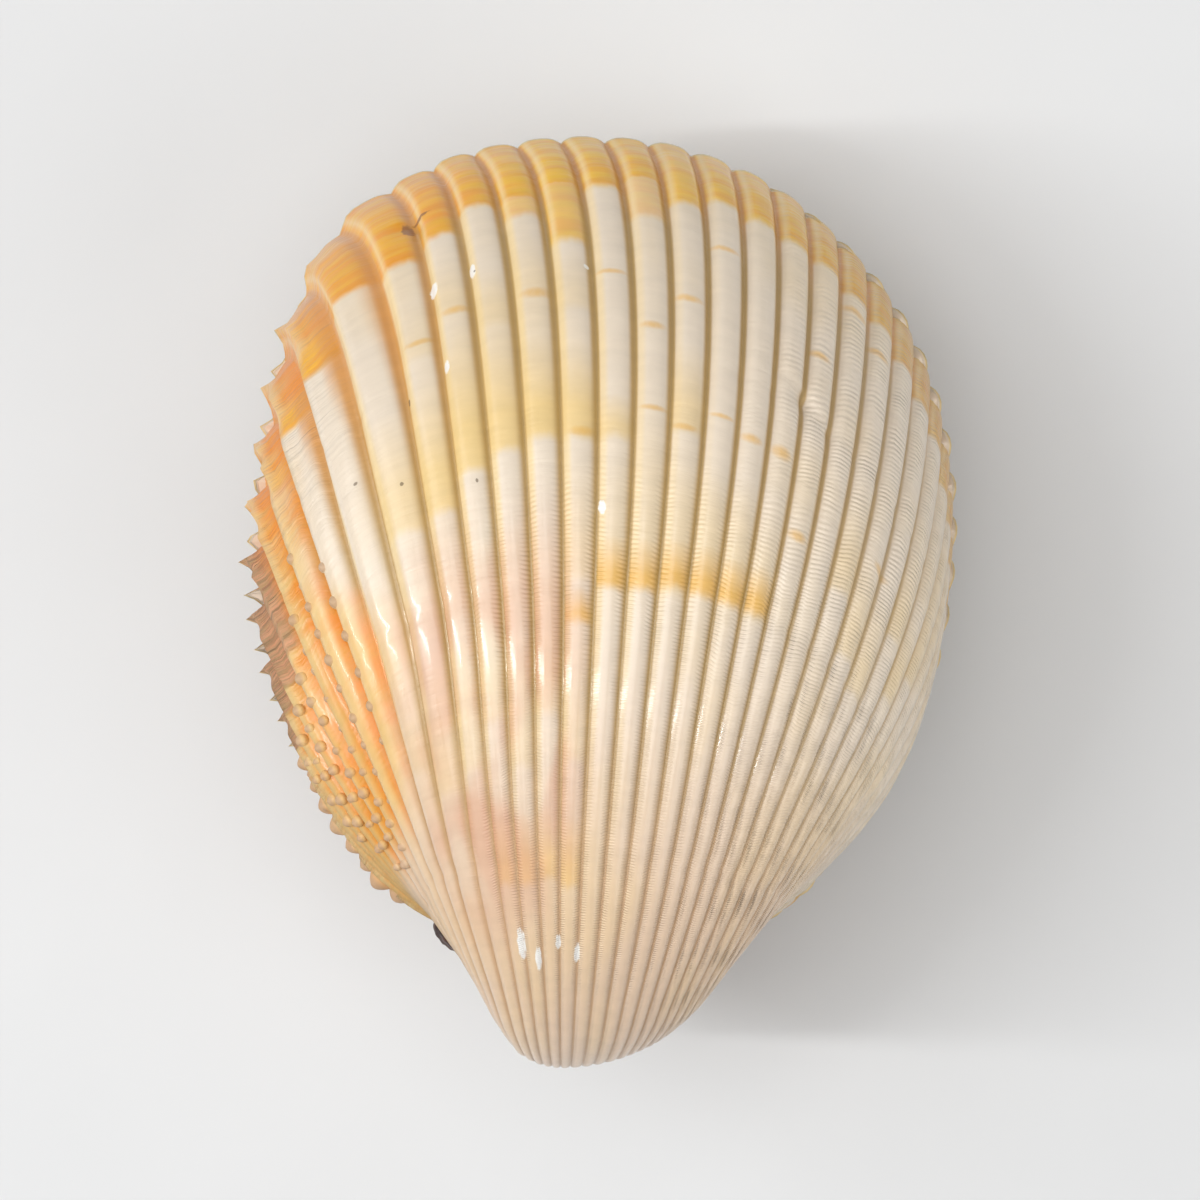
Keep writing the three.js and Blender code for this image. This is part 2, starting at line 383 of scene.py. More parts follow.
def growth_pauses(age, rib, breaks):
    """Shallow steps where growth stopped for a while, and old breaks that have healed."""
    wave = 0.35 * np.sin(rib * 0.9) + 0.25 * np.sin(rib * 2.3 + 1)
    depth = np.zeros(np.broadcast(age, rib).shape)
    for pause, drop, blur in GROWTH_PAUSES:
        depth -= drop * np.exp(-((age - pause - wave) / blur) ** 2)
    for middle, break_age, half_width, drop in breaks:
        near = np.exp(-((rib - middle) / half_width) ** 4)
        slanted = age - break_age - 1.2 * (rib - middle)
        depth -= drop * near * np.exp(-np.abs(slanted) / 0.9) * (slanted > -0.3)
    return depth


def outer_face(form, columns, breaks):
    """Points, directions, ages, ring widths and crest heights of the outside, from the beak on."""
    parts = np.linspace(1, 0, OUTER_ROWS) ** 1.15
    scale, turn, length = rings_at(parts)
    age = parts * length * HINGE_TO_MARGIN
    width = ring_width(scale)
    margin, outward = columns.margin(age)
    smooth = grow(margin, scale, turn)
    across = np.gradient(smooth, axis=1)
    down = np.gradient(smooth, axis=0)
    normal = unit(np.cross(down, across))
    flat_normal = grow_direction(outward, turn)
    normal *= np.sign(np.sum(normal * flat_normal, axis=2, keepdims=True))
    at_rim = 1 - smooth_step(0, 5, age)[:, None, None]
    direction = unit(mix(normal, flat_normal, at_rim))

    rib = columns.rib
    keel = keel_part(rib)
    height = mix(1, 0.75, smooth_step(29, 38, rib)) * form.rib_height + keel * form.keel_height
    flat, arched = rib_section(rib, age[:, None])
    rounding = np.maximum(smooth_step(12, 34, age), mix(0.8, 0.4, smooth_step(0, 5, age)))
    ridge = mix(flat, arched, rounding[:, None]) * columns.strength
    relief = height / MM * ridge * width[:, None] ** 0.9
    by_rim = mix(0.75, 1.2, smooth_step(24, 31, rib))
    relief *= mix(by_rim, 1, smooth_step(0, 6, age)[:, None])
    tooth = keel * columns.strength * ridge ** 4
    relief += form.tooth_length / MM * tooth * np.exp(-age / 1.8)[:, None]
    relief += growth_pauses(age[:, None], rib[None, :], breaks) * columns.strength
    points = smooth + direction * relief[..., None]
    points[..., 2] += rim_wave(form, columns) * np.exp(-age / 1.6)[:, None]
    points[..., 2] += form.valve_gap / MM / 2
    return points, direction, age, width, ridge


def grow_direction(outward, turn):
    """The outward direction of the margin plane, turned with each ring."""
    flat, reach = outward[..., 0], outward[..., 1]
    return np.stack([flat, reach * np.cos(turn)[:, None], reach * np.sin(turn)[:, None]], axis=2)


def rim_wave(form, columns):
    """Rise and fall of the rim, so that the ribs of one valve close on the grooves of the other."""
    from_crest = columns.phase - mix(0.5, 0.87, keel_part(columns.rib))
    return -form.tooth_drop / MM * columns.strength * np.cos(math.tau * from_crest)


def beak_rows(points):
    """Rounds off the free end of the beak."""
    centre = points[0].mean(axis=0)
    ring = points[0] - centre
    reach = np.linalg.norm(ring, axis=1).mean()
    tip = unit(centre - points[4].mean(axis=0)) * reach * 0.5
    return np.array([centre + ring * part + tip * math.sqrt(1 - part ** 2) for part in BEAK_ROWS])


def inner_face(form, columns):
    """The inside of the valve, from the lip to a point under the beak."""
    parts = np.linspace(0, INNER_REACH, INNER_ROWS)
    scale, turn, _ = rings_at(parts)
    margin, outward = columns.margin(np.zeros(INNER_ROWS))
    inset = margin - outward * form.lip_width / MM
    inset[..., 1] = np.maximum(inset[..., 1], INNER_HINGE_GAP)
    points = grow(inset, scale - 0.03 * turn, turn)
    points[..., 2] += form.valve_gap / MM / 2
    points[0, :, 2] += rim_wave(form, columns)
    centre = np.broadcast_to(points[-1].mean(axis=0), points[-1].shape)
    return np.concatenate([points, centre[None]])


class Valve:
    """All rows of a valve from the beak over the margin to the inside, with their marks."""

    def __init__(self, form, right_valve):
        self.columns = columns = Columns(form, right_valve)
        breaks = [] if right_valve else HEALED_BREAKS
        outer, self.direction, self.age, self.width, ridge = outer_face(form, columns, breaks)
        beak = beak_rows(outer)
        inner = inner_face(form, columns)
        lip = np.array([mix(outer[-1], inner[0], part) for part in LIP_ROWS])
        self.points = np.concatenate([beak, outer, lip, inner[1:]])
        self.first = len(beak)
        if right_valve:
            self.points[..., 2] *= -1
            self.direction[..., 2] *= -1
            self.points += np.array(RIGHT_VALVE_SLIP) * self.points[..., 1:2] / HINGE_TO_MARGIN
        ages = np.concatenate([
            np.full(len(beak), self.age[0]), self.age, np.full(len(lip), RIM_LEVEL),
            np.full(len(inner) - 1, INSIDE_LEVEL)])
        shape = self.points.shape[:2]
        rows = np.clip(np.arange(shape[0]) - self.first, 0, OUTER_ROWS - 1)
        self.marks = {
            "rib": np.broadcast_to(columns.rib, shape),
            "age": np.broadcast_to(ages[:, None], shape),
            "ridge": ridge[rows],
        }

    def at(self, rib, age):
        """Place and outward direction of a point on the outside."""
        ribs = self.columns.open_rib
        row = np.interp(-age, -self.age, np.arange(OUTER_ROWS))
        column = np.interp(rib, ribs, np.arange(len(ribs)))
        low, left = int(row), int(column)
        found = []
        for rows in (self.points[self.first:], self.direction):
            upper = mix(rows[low, left], rows[low, left + 1], column - left)
            lower = mix(rows[low + 1, left], rows[low + 1, left + 1], column - left)
            found.append(mix(upper, lower, row - low))
        return found


def knob_places(valve, form, seed):
    """Middle, outward direction, size, rib and age of each knob on the posterior ribs."""
    chance = np.random.RandomState(seed)
    for number, first, last, step, large in KNOB_ROWS:
        age = first + chance.uniform(0, 1)
        while age < last:
            rib = number + corner_place(number, age)
            width = np.interp(-age, -valve.age, valve.width)
            size = form.knob_size / MM * (0.4 + 0.6 * width) * chance.uniform(0.8, 1.15)
            size *= mix(large, 1.0, smooth_step(0, 6, age))
            middle, outward = valve.at(rib + chance.uniform(-0.08, 0.04), age)
            yield middle - outward * size * 0.35, outward, size, rib, age
            age += step * chance.uniform(0.8, 1.25)


# ------------------------------------------------------------
# Mesh helpers


def skin_of(valve):
    """The valve as one closed skin: a sheet of faces bent to the rows, with its seams joined."""
    rows, count = valve.points.shape[:2]
    places = to_frame(valve.points)
    # The lowest crests are worn level with the floor.
    places[..., 2] = np.maximum(places[..., 2], 0)
    bm = bmesh.new()
    layers = {mark: bm.verts.layers.float.new(mark) for mark in (*valve.marks, "knob")}
    bmesh.ops.create_grid(bm, x_segments=count - 1, y_segments=rows - 1, size=1.0)
    for vertex in bm.verts:
        column = round((vertex.co.x + 1) / 2 * (count - 1))
        row = round((vertex.co.y + 1) / 2 * (rows - 1))
        vertex.co = places[row, column]
        for mark, values in valve.marks.items():
            vertex[layers[mark]] = values[row, column]
    bmesh.ops.remove_doubles(bm, verts=bm.verts, dist=SEAM_REACH)
    bmesh.ops.dissolve_degenerate(bm, edges=bm.edges, dist=SHORTEST_EDGE)
    bmesh.ops.recalc_face_normals(bm, faces=bm.faces)
    return bm


def add_knobs(skin, places):
    """Knobs standing on the skin: balls drawn out to a blunt point."""
    knobs = bmesh.new()
    marks = {mark: knobs.verts.layers.float.new(mark) for mark in ("rib", "age", "ridge", "knob")}
    for middle, outward, size, rib, age in places:
        turn = (REST_TURN @ Vector(outward)).to_track_quat("Z", "Y").to_matrix().to_4x4()
        matrix = Matrix.Translation(Vector(to_frame(middle))) @ turn @ Matrix.Scale(size * MM, 4)
        made = bmesh.ops.create_icosphere(knobs, subdivisions=3, radius=1.0)
        for vertex in made["verts"]:
            x, y, height = vertex.co
            vertex[marks["rib"]], vertex[marks["age"]], vertex[marks["ridge"]] = rib, age, 1.0
            vertex[marks["knob"]] = max(0.02, height)
            above = max(height, 0)
            taper = 1 - 0.3 * above
            vertex.co = matrix @ Vector((x * taper, y * taper * 1.25 + 0.25 * above, height))
    together = bpy.data.meshes.new("knobs")
    knobs.to_mesh(together)
    knobs.free()
    skin.from_mesh(together)
    bpy.data.meshes.remove(together)


def add_piece(name, bm):
    """A new smooth object in the scene, at the origin."""
    mesh = bpy.data.meshes.new(name)
    bm.to_mesh(mesh)
    bm.free()
    mesh.shade_smooth()
    piece = bpy.data.objects.new(name, mesh)
    bpy.context.collection.objects.link(piece)
    return piece


# ------------------------------------------------------------
# Materials


class Graph:
    """Short ways to add and link the nodes of one material."""

    def __init__(self, name):
        self.material = bpy.data.materials.new(name)
        self.material.use_nodes = True
        self.nodes = self.material.node_tree.nodes
        self.links = self.material.node_tree.links
        self.shader = self.nodes["Principled BSDF"]

    def put(self, socket, value):
        """Links a socket, or sets a plain value."""
        if isinstance(value, bpy.types.NodeSocket):
            self.links.new(value, socket)
        else:
            socket.default_value = value

    def math(self, operation, *values, clamp=False):
        """A Math node."""
        node = self.nodes.new("ShaderNodeMath")
        node.operation = operation
        node.use_clamp = clamp
        for socket, value in zip(node.inputs, values):
            self.put(socket, value)
        return node.outputs[0]

    def scaled(self, value, factor, added):
        """value times factor, plus added."""
        return self.math("MULTIPLY_ADD", value, factor, added)

    def larger(self, first, second):
        """The larger of two values."""
        return self.math("MAXIMUM", first, second)

    def sum(self, *values):
        """All the values added together."""
        total = values[0]
        for value in values[1:]:
            total = self.math("ADD", total, value)
        return total

    def product(self, *values):
        """All the values multiplied together."""
        total = values[0]
        for value in values[1:]:
            total = self.math("MULTIPLY", total, value)
        return total

    def ripples(self, length, spacing):
        """A wave from -1 to 1 along a length, once in every spacing."""
        turns = self.math("DIVIDE", length, spacing)
        return self.math("SINE", self.product(turns, math.tau))

    def step(self, value, low, high, smooth=True):
        """0 at low, 1 at high. low may be above high."""
        node = self.nodes.new("ShaderNodeMapRange")
        node.interpolation_type = "SMOOTHSTEP" if smooth else "LINEAR"
        self.put(node.inputs["Value"], value)
        self.put(node.inputs["From Min"], low)
        self.put(node.inputs["From Max"], high)
        return node.outputs["Result"]

    def window(self, value, low, high, blur):
        """1 between low and high and 0 outside."""
        return self.product(
            self.step(value, low - blur, low + blur), self.step(value, high + blur, high - blur))

    def mark(self, name):
        """A float attribute of the mesh."""
        node = self.nodes.new("ShaderNodeAttribute")
        node.attribute_name = name
        return node.outputs["Fac"]

    def vector(self, x, y=0.0, z=0.0):
        """Three numbers as a vector."""
        node = self.nodes.new("ShaderNodeCombineXYZ")
        for socket, value in zip(node.inputs, (x, y, z)):
            self.put(socket, value)
        return node.outputs[0]

    def noise(self, vector, scale=1.0, detail=2.0, rough=0.5):
        """Noise from about 0 to 1."""
        node = self.nodes.new("ShaderNodeTexNoise")
        self.put(node.inputs["Vector"], vector)
        node.inputs["Scale"].default_value = scale
        node.inputs["Detail"].default_value = detail
        node.inputs["Roughness"].default_value = rough
        return node.outputs["Fac"]

    def chance(self, first, second=0.0):
        """A random number from 0 to 1 for each pair of numbers."""
        node = self.nodes.new("ShaderNodeTexWhiteNoise")
        node.noise_dimensions = "2D"
        self.put(node.inputs["Vector"], self.vector(first, second))
        return node.outputs["Value"]

    def place(self):
        """Object coordinates."""
        return self.nodes.new("ShaderNodeTexCoord").outputs["Object"]

    def blend(self, part, first, second, kind="MIX"):
        """A colour between two colours."""
        node = self.nodes.new("ShaderNodeMix")
        node.data_type = "RGBA"
        node.blend_type = kind
        self.put(node.inputs["Factor"], part)
        self.put(node.inputs["A"], first)
        self.put(node.inputs["B"], second)
        return node.outputs["Result"]

    def bump(self, height, distance, strength, normal=None):
        """A Bump node. distance is in metres."""
        node = self.nodes.new("ShaderNodeBump")
        node.inputs["Strength"].default_value = strength
        node.inputs["Distance"].default_value = distance
        self.put(node.inputs["Height"], height)
        if normal is not None:
            self.put(node.inputs["Normal"], normal)
        return node.outputs["Normal"]


# Growth bands: age of the old edge, length of the fade towards the margin, first and last rib,
# strength, and how far the edge strays from rib to rib.
SOLID = 60.0                     # a fade so long that the band reaches the margin unfaded
MARGIN_BANDS = [
    (15.5, SOLID, 9, 13, 1.0, 0.6),
    (12.3, SOLID, 14, 15, 1.0, 0.3),
    (11.3, SOLID, 16, 16, 1.0, 0.0),
    (9.5, SOLID, 17, 18, 1.0, 0.1),
    (11.2, 14.0, 18, 18, 0.7, 0.0),
    (14.0, 20.0, 19, 19, 0.8, 0.0),
    (8.4, SOLID, 19, 20, 1.0, 0.1),
    (11.3, 14.0, 21, 21, 0.55, 0.0),
    (7.3, SOLID, 21, 21, 1.0, 0.0),
    (9.2, SOLID, 22, 22, 0.9, 0.0),
    (7.9, SOLID, 23, 28, 0.95, 0.3),
    (8.8, SOLID, 29, 45, 0.9, 0.9),
]
GOLD_BANDS = [
    (38.9, 3.4, 20, 25, 0.9, 0.3),
    (41.5, 2.2, 19, 19, 0.9, 0.0),
    (58.6, 5.0, 16, 19, 0.5, 0.8),
]
PALE_BANDS = [
    (33.5, 9.0, 14, 14, 0.6, 0.0),
    (32.9, 10.0, 15, 15, 0.9, 0.0),
    (30.8, 11.0, 16, 16, 0.95, 0.0),
    (29.8, 9.0, 17, 17, 0.9, 0.0),
    (29.1, 7.5, 18, 18, 0.95, 0.0),
    (29.2, 7.0, 19, 19, 0.9, 0.0),
    (29.1, 3.0, 20, 20, 0.7, 0.0),
    (28.0, 6.5, 22, 22, 0.6, 0.0),
    (50.0, 9.0, 13, 19, 0.3, 3.0),
    (38.8, 9.0, 19, 25, 0.35, 0.5),
    (36.0, 9.0, 28, 33, 0.4, 5.0),
    (19.5, 5.0, 15, 19, 0.3, 2.0),
]
# Thin bars: rib and age of the middle, half width in ribs and half length in millimetres.
BARS = [
    (20.45, 16.4, 0.45, 0.25), (21.45, 20.5, 0.38, 0.35), (23.4, 12.3, 0.45, 0.3),
    (18.6, 18.1, 0.5, 0.5), (16.6, 18.3, 0.45, 0.4), (15.6, 19.8, 0.45, 0.3),
    (25.4, 26.7, 0.38, 0.6), (24.4, 26.8, 0.38, 0.4), (21.5, 26.6, 0.45, 0.25),
    (26.4, 31.8, 0.4, 0.5), (26.3, 17.0, 0.38, 0.4), (28.3, 11.2, 0.42, 0.5),
    (19.6, 28.6, 0.45, 0.4), (29.8, 29.0, 0.42, 0.5), (22.4, 17.7, 0.45, 0.35),
    (27.4, 9.6, 0.5, 0.5), (23.45, 26.0, 0.42, 0.22), (22.4, 27.5, 0.42, 0.3),
]
# Damage of the left valve, in the same numbers as the bars.
CHIPS = [
    (20.15, 33.7, 0.11, 0.5), (16.12, 15.7, 0.14, 0.55), (17.12, 15.2, 0.08, 0.6),
    (19.85, 15.9, 0.07, 0.2), (16.16, 22.5, 0.09, 0.45), (16.85, 63.3, 0.22, 1.2),
    (17.75, 64.4, 0.18, 0.9), (18.9, 63.1, 0.15, 0.6), (19.95, 64.0, 0.16, 0.8),
]
INJURY = [(15.84, 8.3, 0.12, 0.7), (16.2, 7.9, 0.3, 0.14)]
SPECKS = [
    (15.07, 23.9, 0.03, 0.3), (16.62, 31.3, 0.04, 0.15), (13.73, 27.4, 0.04, 0.15),
    (14.63, 29.7, 0.04, 0.15), (17.17, 15.3, 0.03, 0.1),
]
CHIP_WHITE = (0.9, 0.88, 0.84, 1)
INJURY_BROWN = (0.27, 0.10, 0.02, 1)
SPECK_BROWN = (0.12, 0.08, 0.04, 1)
BEAD_SPACING = 0.6               # millimetres along a rib, near the margin
CORD_SPACING = 0.62


class Pattern:
    """The numbers that the shell's colours and bumps are worked out from."""

    def __init__(self, graph, seed):
        self.graph = graph
        self.seed = seed
        self.rib = graph.mark("rib")
        self.age = graph.mark("age")
        self.ridge = graph.mark("ridge")
        self.knob = graph.mark("knob")
        self.rib_number = graph.math("FLOOR", self.rib)
        self.phase = graph.math("FRACT", self.rib)
        self.luck = graph.chance(self.rib_number, seed)
        self.outside = graph.step(self.age, -1.4, -0.4)
        self.flow = self.cloud(0.35, 0.12)
        # Growth lines run further towards the margin on the crests, most of all on the slope.
        keeled = graph.step(self.rib, 15.5, 11)
        bulge = graph.product(self.ridge, graph.scaled(keeled, 1.5, 0.2))
        ripple = graph.scaled(self.cloud(3.0, 0.5), 0.7, -0.35)
        self.time = graph.sum(self.age, bulge, ripple)

    def cloud(self, along_ribs, along_age, detail=2.0, moved=0.0):
        """Noise over the shell, as cells per rib and cells per millimetre of age."""
        graph = self.graph
        across = graph.product(self.rib, along_ribs)
        along = graph.product(self.age, along_age)
        return graph.noise(graph.vector(across, along, self.seed + moved), detail=detail)

    def arcs(self, along_time, detail, rough=0.5):
        """Noise that follows the growth lines and is different on each rib."""
        graph = self.graph
        across = graph.product(self.rib_number, 3.3)
        along = graph.product(self.time, along_time)
        return graph.noise(graph.vector(across, along, self.seed), detail=detail, rough=rough)


def band_sum(pattern, bands):
    """How strongly any of the growth bands covers a point."""
    graph = pattern.graph
    total = 0.0
    for number, (edge, fade, first, last, strength, stray) in enumerate(bands):
        luck = graph.chance(pattern.rib_number, pattern.seed + number + 3.5)
        old_edge = graph.scaled(luck, stray * 2, edge - stray)
        from_edge = graph.math("SUBTRACT", old_edge, pattern.time)
        inside = graph.step(from_edge, -0.4, 0.6)
        faded = graph.step(from_edge, fade, fade * 0.3, smooth=False)
        across = graph.window(pattern.rib_number, first - 0.5, last + 0.5, 0.1)
        total = graph.larger(total, graph.product(inside, faded, across, strength))
    return total


def spots(pattern, places, raggedness=2.0, fade=0.8):
    """1 on any of the small marks, ovals that fade out where the squared distance is 1.3."""
    graph = pattern.graph
    outer = 1.3
    noise = pattern.cloud(9.0, 2.2, detail=3)
    ragged = graph.scaled(noise, raggedness, raggedness * -0.5)
    total = 0.0
    for rib, age, half_width, half_length in places:
        across = graph.math("DIVIDE", graph.math("SUBTRACT", pattern.rib, rib), half_width)
        along = graph.math("DIVIDE", graph.math("SUBTRACT", pattern.age, age), half_length)
        reach = graph.sum(graph.product(across, across), graph.product(along, along), ragged)
        total = graph.larger(total, graph.step(reach, outer, outer - fade))
    return total


def slope_part(pattern):
    """The posterior slope, with a ragged edge that is dented near the margin."""
    graph = pattern.graph
    ragged = graph.scaled(pattern.flow, 1.2, -0.6)
    narrowing = graph.product(graph.step(pattern.age, 38, 56), -1.4)
    dent = graph.product(graph.step(pattern.age, 10, 14), graph.step(pattern.age, 42, 26), -1.7)
    edge = graph.sum(ragged, narrowing, dent)
    return graph.step(graph.math("SUBTRACT", pattern.rib, edge), 14.3, 12.8)


def shell_colour(pattern, colours, damaged):
    """Colour of a valve, with painted light on the posterior flanks of the ribs and painted shade
    in the grooves. Only a damaged valve has chips, an injury and specks.
    """
    graph = pattern.graph
    age = pattern.age
    old = graph.product(graph.step(age, 34, 64), 0.75)
    colour = graph.blend(old, colours.crest, colours.beak)
    cream = graph.product(graph.step(pattern.cloud(0.22, 0.07, moved=2.0), 0.42, 0.68), 0.26)
    colour = graph.blend(cream, colour, colours.pale_yellow)
    # Cream with painted light on the posterior flanks of the ribs, which face the lamps on the
    # left. It fades out on the middle ribs, which are seen square-on.
    side = graph.product(
        graph.step(pattern.phase, 0.32, 0.16), graph.step(pattern.rib, 25, 18),
        graph.step(age, 62, 40), 0.75)
    colour = graph.blend(side, colour, colours.flank)
    colour = graph.blend(band_sum(pattern, PALE_BANDS), colour, colours.pale_yellow)
    bars = graph.product(spots(pattern, BARS, raggedness=0.5, fade=1.8), 0.8)
    colour = graph.blend(bars, colour, colours.gold)
    colour = graph.blend(band_sum(pattern, GOLD_BANDS), colour, colours.gold)
    colour = rose_stain(pattern, colours, colour)
    colour = margin_colour(pattern, colours, colour)
    colour = groove_colour_and_shade(pattern, colours, colour)
    colour = slope_colour(pattern, colours, colour)
    if damaged:
        colour = graph.blend(spots(pattern, CHIPS), colour, CHIP_WHITE)
        colour = graph.blend(graph.product(spots(pattern, INJURY), 0.85), colour, INJURY_BROWN)
        colour = graph.blend(graph.product(spots(pattern, SPECKS), 0.7), colour, SPECK_BROWN)
    colour = graph.blend(graph.step(age, 0.3, 0.05), colour, colours.flank)
    lines = graph.scaled(pattern.cloud(0.9, 1.1, detail=4), 0.18, 0.91)
    colour = graph.blend(1.0, colour, graph.vector(lines, lines, lines), kind="MULTIPLY")
    inside = graph.math("SUBTRACT", 1.0, pattern.outside)
    return graph.blend(inside, colour, colours.crest)


def margin_colour(pattern, colours, colour):
    """Ochre bands along the margin, more orange towards both ends of the shell, darkened with
    painted shade on the anterior ribs and lightened with cream and painted light on the posterior
    faces.
    """
    graph = pattern.graph
    posterior = graph.step(pattern.rib, 19.5, 16)
    anterior = graph.product(graph.step(pattern.rib, 25, 31), 0.7)
    ends = graph.product(graph.larger(posterior, anterior), 0.35)
    lines = graph.step(pattern.cloud(0.5, 1.1, detail=3, moved=5.0), 0.38, 0.66)
    hue = graph.blend(graph.scaled(lines, 0.4, ends), colours.ochre, colours.orange)
    # Painted shade: the margin band darkens towards the groove colour on the anterior ribs, where
    # the light falls off.
    anterior_painted_shade = graph.product(graph.step(pattern.rib, 23, 30), 0.35)
    hue = graph.blend(anterior_painted_shade, hue, colours.groove)
    # Cream with painted light on the posterior faces of the margin ribs, which face the lamps on
    # the left.
    face = graph.product(
        graph.step(pattern.phase, 0.3, 0.15), graph.step(pattern.ridge, 0.2, 0.6), 0.65)
    hue = graph.blend(face, hue, colours.flank)
    return graph.blend(band_sum(pattern, MARGIN_BANDS), colour, hue)


def groove_colour_and_shade(pattern, colours, colour):
    """Olive tan in the grooves, orange near the margin and paler towards the beak, laid on the low
    parts and anterior sides of the ribs as painted shade.
    """
    graph = pattern.graph
    age, rib, phase = pattern.age, pattern.rib, pattern.phase
    posterior = graph.product(graph.step(rib, 17.5, 14.5), graph.step(age, 34, 14))
    golden = graph.product(graph.larger(graph.step(age, 13, 4), posterior), 0.6)
    groove = graph.blend(golden, colours.groove, colours.orange)
    by_beak = graph.product(graph.step(rib, 15, 11), graph.step(age, 38, 48))
    by_beak = graph.larger(by_beak, graph.step(age, 44, 62))
    groove = graph.blend(by_beak, groove, colours.old_groove)
    # Painted shade: the groove colour goes on the low parts of each rib and on its anterior side,
    # away from the lamps on the left, and more weakly on the anterior ribs.
    depth = graph.step(pattern.ridge, 0.78, 0.2)
    shaded = graph.larger(graph.step(phase, 0.5, 0.72), graph.step(phase, 0.1, 0.03))
    strength = graph.scaled(graph.step(rib, 25, 34), -0.45, 0.9)
    return graph.blend(graph.product(depth, shaded, strength), colour, groove)


def rose_stain(pattern, colours, colour):
    """Pink brown stains on the ribs next to the posterior slope."""
    graph = pattern.graph
    blot = graph.step(pattern.cloud(0.4, 0.09, moved=1.0), 0.38, 0.58)
    low = graph.scaled(pattern.ridge, -0.45, 1.0)
    cover = graph.product(
        graph.window(pattern.rib, 13.3, 19.5, 1.2), graph.window(pattern.age, 36, 60, 6.0),
        blot, low, 0.95)
    return graph.blend(cover, colour, colours.rose)


def rough_part(pattern):
    """1 on the rough brown layers at the posterior margin."""
    graph = pattern.graph
    reach = graph.scaled(graph.step(pattern.rib, 6.2, 9.8, smooth=False), 8.0, 20.0)
    ragged = graph.scaled(pattern.cloud(0.9, 0.2, moved=7.0), 10.0, -5.0)
    youth = graph.math("SUBTRACT", reach, graph.sum(pattern.time, ragged))
    return graph.product(graph.window(pattern.rib, 6.2, 9.85, 0.2), graph.step(youth, -0.8, 1.2))


def slope_colour(pattern, colours, colour):
    """Yellow and orange of the posterior slope, with painted shade in the hollows of its ribs, its
    pale keels with painted light on their posterior faces, and its knobs.
    """
    graph = pattern.graph
    age, phase, ridge = pattern.age, pattern.phase, pattern.ridge
    arcs = pattern.arcs(0.5, detail=4)
    near_rim = graph.product(graph.step(age, 24, 4), 0.45)
    # Painted shade: the hollow of each slope rib turns more orange towards its anterior side,
    # deepest before the next keel.
    hollow_painted_shade = graph.product(graph.step(phase, 0.4, 0.95), 0.5)
    strong = graph.scaled(graph.step(arcs, 0.3, 0.7), 0.6, near_rim)
    strong = graph.math("ADD", strong, hollow_painted_shade, clamp=True)
    hue = graph.blend(strong, colours.slope_yellow, colours.orange)
    pale = graph.product(
        graph.step(arcs, 0.62, 0.38), graph.window(age, 9, 34, 5.0),
        graph.step(phase, 0.85, 0.6), 0.35)
    hue = graph.blend(pale, hue, colours.flank)
    # Cream of the keels, with painted light on their posterior faces, which face the lamps on the
    # left.
    face = graph.product(graph.step(phase, 0.36, 0.24), graph.step(ridge, 0.1, 0.5))
    crest = graph.larger(face, graph.step(ridge, 0.5, 0.95))
    crest = graph.product(crest, graph.scaled(pattern.flow, 0.7, 0.25))
    hue = graph.blend(crest, hue, colours.flank)
    strength = graph.scaled(graph.step(age, 47, 55), -0.9, 0.95)
    colour = graph.blend(graph.product(slope_part(pattern), strength), colour, hue)
    layers = graph.noise(
        graph.vector(pattern.rib, graph.product(pattern.time, 2.2)), detail=4)
    brown = graph.blend(graph.step(layers, 0.35, 0.65), colours.rough, colours.rose)
    colour = graph.blend(graph.product(rough_part(pattern), 0.85), colour, brown)
    knob = graph.product(graph.step(pattern.knob, 0.05, 0.7), 0.8)
    return graph.blend(knob, colour, colours.knob)


def shell_bumps(pattern):
    """Growth lines, beads by the grooves, cords on the anterior ribs and folds on the slope."""
    graph = pattern.graph
    age, rib, ridge = pattern.age, pattern.rib, pattern.ridge
    waves = pattern.cloud(0.5, 0.75)
    lines = pattern.cloud(0.6, 2.4, detail=4, moved=3.0)
    weight = graph.scaled(graph.step(age, 16, 4), 2.2, 0.8)
    normal = graph.bump(graph.scaled(waves, weight, lines), 0.12 * MM, 0.35)

    narrowing = graph.scaled(age, -0.0075, 1.0)
    moved = graph.scaled(pattern.flow, 3.0, pattern.luck)
    bead = graph.ripples(graph.sum(age, moved), graph.product(narrowing, BEAD_SPACING))
    beads = graph.product(
        bead, graph.window(ridge, 0.2, 0.8, 0.15), graph.window(rib, 16, 34, 2.0),
        graph.step(age, 26, 44), pattern.cloud(0.4, 0.3))
    normal = graph.bump(beads, 0.10 * MM, 0.6, normal)

    slant = graph.math("SUBTRACT", pattern.phase, 0.5)
    cord = graph.ripples(graph.sum(age, slant, moved), graph.product(narrowing, CORD_SPACING))
    cords = graph.product(
        cord, graph.step(rib, 23, 29), graph.step(ridge, 0.25, 0.7),
        graph.step(pattern.cloud(0.9, 0.5, detail=3), 0.3, 0.7))
    normal = graph.bump(cords, 0.09 * MM, 0.45, normal)

    weight = graph.scaled(rough_part(pattern), 1.3, 0.5)
    folds = graph.product(
        pattern.arcs(0.9, detail=3, rough=0.6), graph.step(rib, 15, 13),
        graph.step(age, 36, 14), weight)
    return graph.bump(folds, 0.9 * MM, 0.8, normal)


